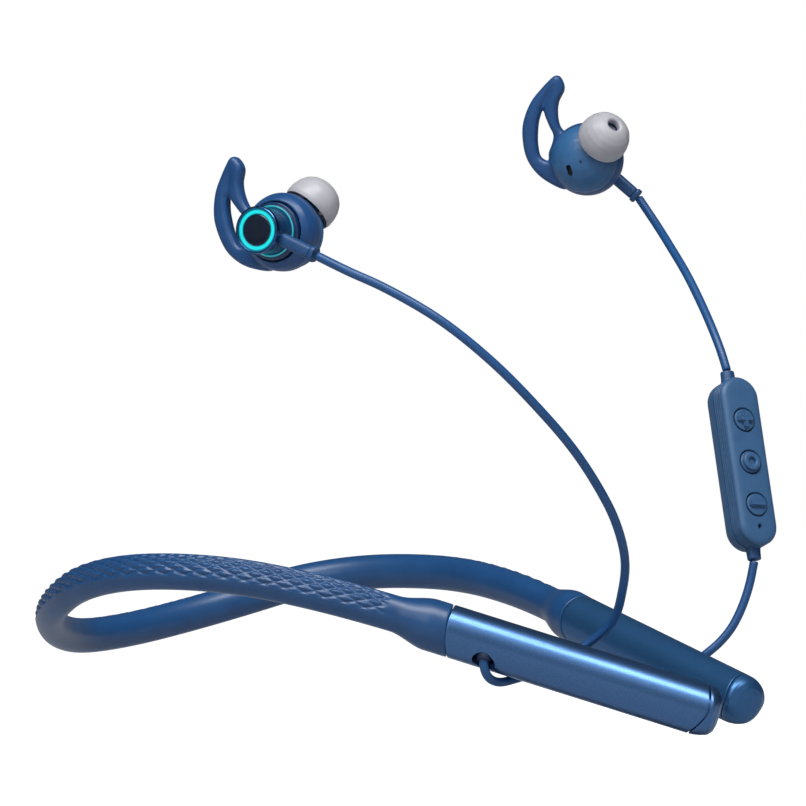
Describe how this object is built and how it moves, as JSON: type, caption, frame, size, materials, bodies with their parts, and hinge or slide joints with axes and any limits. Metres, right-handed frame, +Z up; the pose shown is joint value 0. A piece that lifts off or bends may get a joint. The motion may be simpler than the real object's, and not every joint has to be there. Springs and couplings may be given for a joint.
{
  "type": "neckband earphones",
  "caption": "Wireless neckband earphones: springy band with rigid arms, in-line remote, and wired ear buds with soft tips, ear wings and light rings.",
  "frame": {"origin": "centre of the band's section at the back of the wearer's neck", "axes": "+Z up, +X to the wearer's left, -Y to the wearer's front, so the arms point along -Y"},
  "size_m": [0.1584, 0.1813, 0.1595],
  "materials": {
    "silicone": "matte silicone, deep blue",
    "spring_steel": "drawn wire",
    "cable_black": "matte",
    "arm_paint": "satin metallic blue",
    "gland_rubber": "matte",
    "cell": "foil",
    "board": "solder mask green",
    "port_steel": "stamped",
    "remote_plastic": "soft-touch blue",
    "boot_rubber": "matte",
    "cord_jacket": "smooth matte",
    "bud_plastic": "soft-touch blue",
    "grille": "woven mesh",
    "tip_silicone": "smooth pale grey",
    "bezel_chrome": "polished",
    "light_ring": "diffusing, cyan",
    "face_gloss": "deep blue gloss"
  },
  "bodies": {
    "neckband": {"band_sleeve_back": "silicone", "memory_wire": "spring_steel", "band_cable": "cable_black"},
    "right_arm": {"band_sleeve_right": "silicone", "right_arm_tube": "arm_paint", "right_arm_cap": "arm_paint", "right_cord_gland": "gland_rubber", "battery_cell": "cell", "battery_protection_board": "board", "right_cord": "cord_jacket"},
    "left_arm": {"band_sleeve_left": "silicone", "left_arm_tube": "arm_paint", "left_arm_cap": "arm_paint", "left_cord_gland": "gland_rubber", "main_board": "board", "radio_module": "cell", "charge_port": "port_steel", "left_lower_cord": "cord_jacket", "left_upper_cord": "cord_jacket", "remote_front_shell": "remote_plastic", "remote_back_shell": "remote_plastic", "remote_board": "board", "switch_plus": "port_steel", "switch_play": "port_steel", "switch_minus": "port_steel", "remote_microphone": "cell", "remote_upper_boot": "boot_rubber", "remote_lower_boot": "boot_rubber"},
    "port_cover": {"charge_port_cover": "silicone"},
    "plus_button": {"button_plus": "remote_plastic"},
    "play_button": {"button_play": "remote_plastic"},
    "minus_button": {"button_minus": "remote_plastic"},
    "right_bud": {"right_bud_outer_shell": "bud_plastic", "right_bud_inner_shell": "bud_plastic", "right_nozzle_mesh": "grille", "right_ear_tip": "tip_silicone", "right_ear_wing": "silicone", "right_light_bezel": "bezel_chrome", "right_light_ring": "light_ring", "right_face_disc": "face_gloss", "right_base_light_ring": "light_ring", "right_light_board": "board", "right_bud_magnet": "port_steel", "right_driver": "cell", "right_bud_boot": "boot_rubber"},
    "left_bud": {"left_bud_outer_shell": "bud_plastic", "left_bud_inner_shell": "bud_plastic", "left_nozzle_mesh": "grille", "left_ear_tip": "tip_silicone", "left_ear_wing": "silicone", "left_light_bezel": "bezel_chrome", "left_light_ring": "light_ring", "left_face_disc": "face_gloss", "left_base_light_ring": "light_ring", "left_light_board": "board", "left_bud_magnet": "port_steel", "left_driver": "cell", "left_bud_boot": "boot_rubber"}
  },
  "joints": [
    {"name": "right_arm_flex", "type": "hinge", "parent": "neckband", "child": "right_arm", "pos_m": [-0.0569, -0.0455, 0.0155], "axis": [0, 0, -1], "range_deg": [-1.2, 25], "stiffness_Nm_per_rad": 0.5, "deforming": ["memory_wire", "band_cable"]},
    {"name": "left_arm_flex", "type": "hinge", "parent": "neckband", "child": "left_arm", "pos_m": [0.0569, -0.0455, 0.0155], "axis": [0, 0, 1], "range_deg": [-1.2, 25], "stiffness_Nm_per_rad": 0.5, "deforming": ["memory_wire", "band_cable"]},
    {"name": "port_cover_flap", "type": "hinge", "parent": "left_arm", "child": "port_cover", "pos_m": [0.02338, -0.15713, -0.00773], "axis": [-0.1182, -0.2589, 0.9586], "range_deg": [0, 95], "stiffness_Nm_per_rad": 0.0005},
    {"name": "right_bud_turn", "type": "hinge", "parent": "right_arm", "child": "right_bud", "pos_m": [-0.0748, -0.10665, 0.0881], "axis": [0, -0.9135, -0.4067], "range_deg": [-45, 45], "stiffness_Nm_per_rad": 0.01},
    {"name": "left_bud_turn", "type": "hinge", "parent": "left_arm", "child": "left_bud", "pos_m": [0.07792, -0.1123, 0.10814], "axis": [0.2409, -0.7117, -0.6599], "range_deg": [-45, 45], "stiffness_Nm_per_rad": 0.01},
    {"name": "plus_press", "type": "slide", "parent": "left_arm", "child": "plus_button", "axis": [0.5036, 0.8079, -0.3061], "range_m": [0, 0.0003], "stiffness_N_per_m": 800},
    {"name": "play_press", "type": "slide", "parent": "left_arm", "child": "play_button", "axis": [0.5036, 0.8079, -0.3061], "range_m": [0, 0.0003], "stiffness_N_per_m": 800},
    {"name": "minus_press", "type": "slide", "parent": "left_arm", "child": "minus_button", "axis": [0.5036, 0.8079, -0.3061], "range_m": [0, 0.0003], "stiffness_N_per_m": 800}
  ]
}
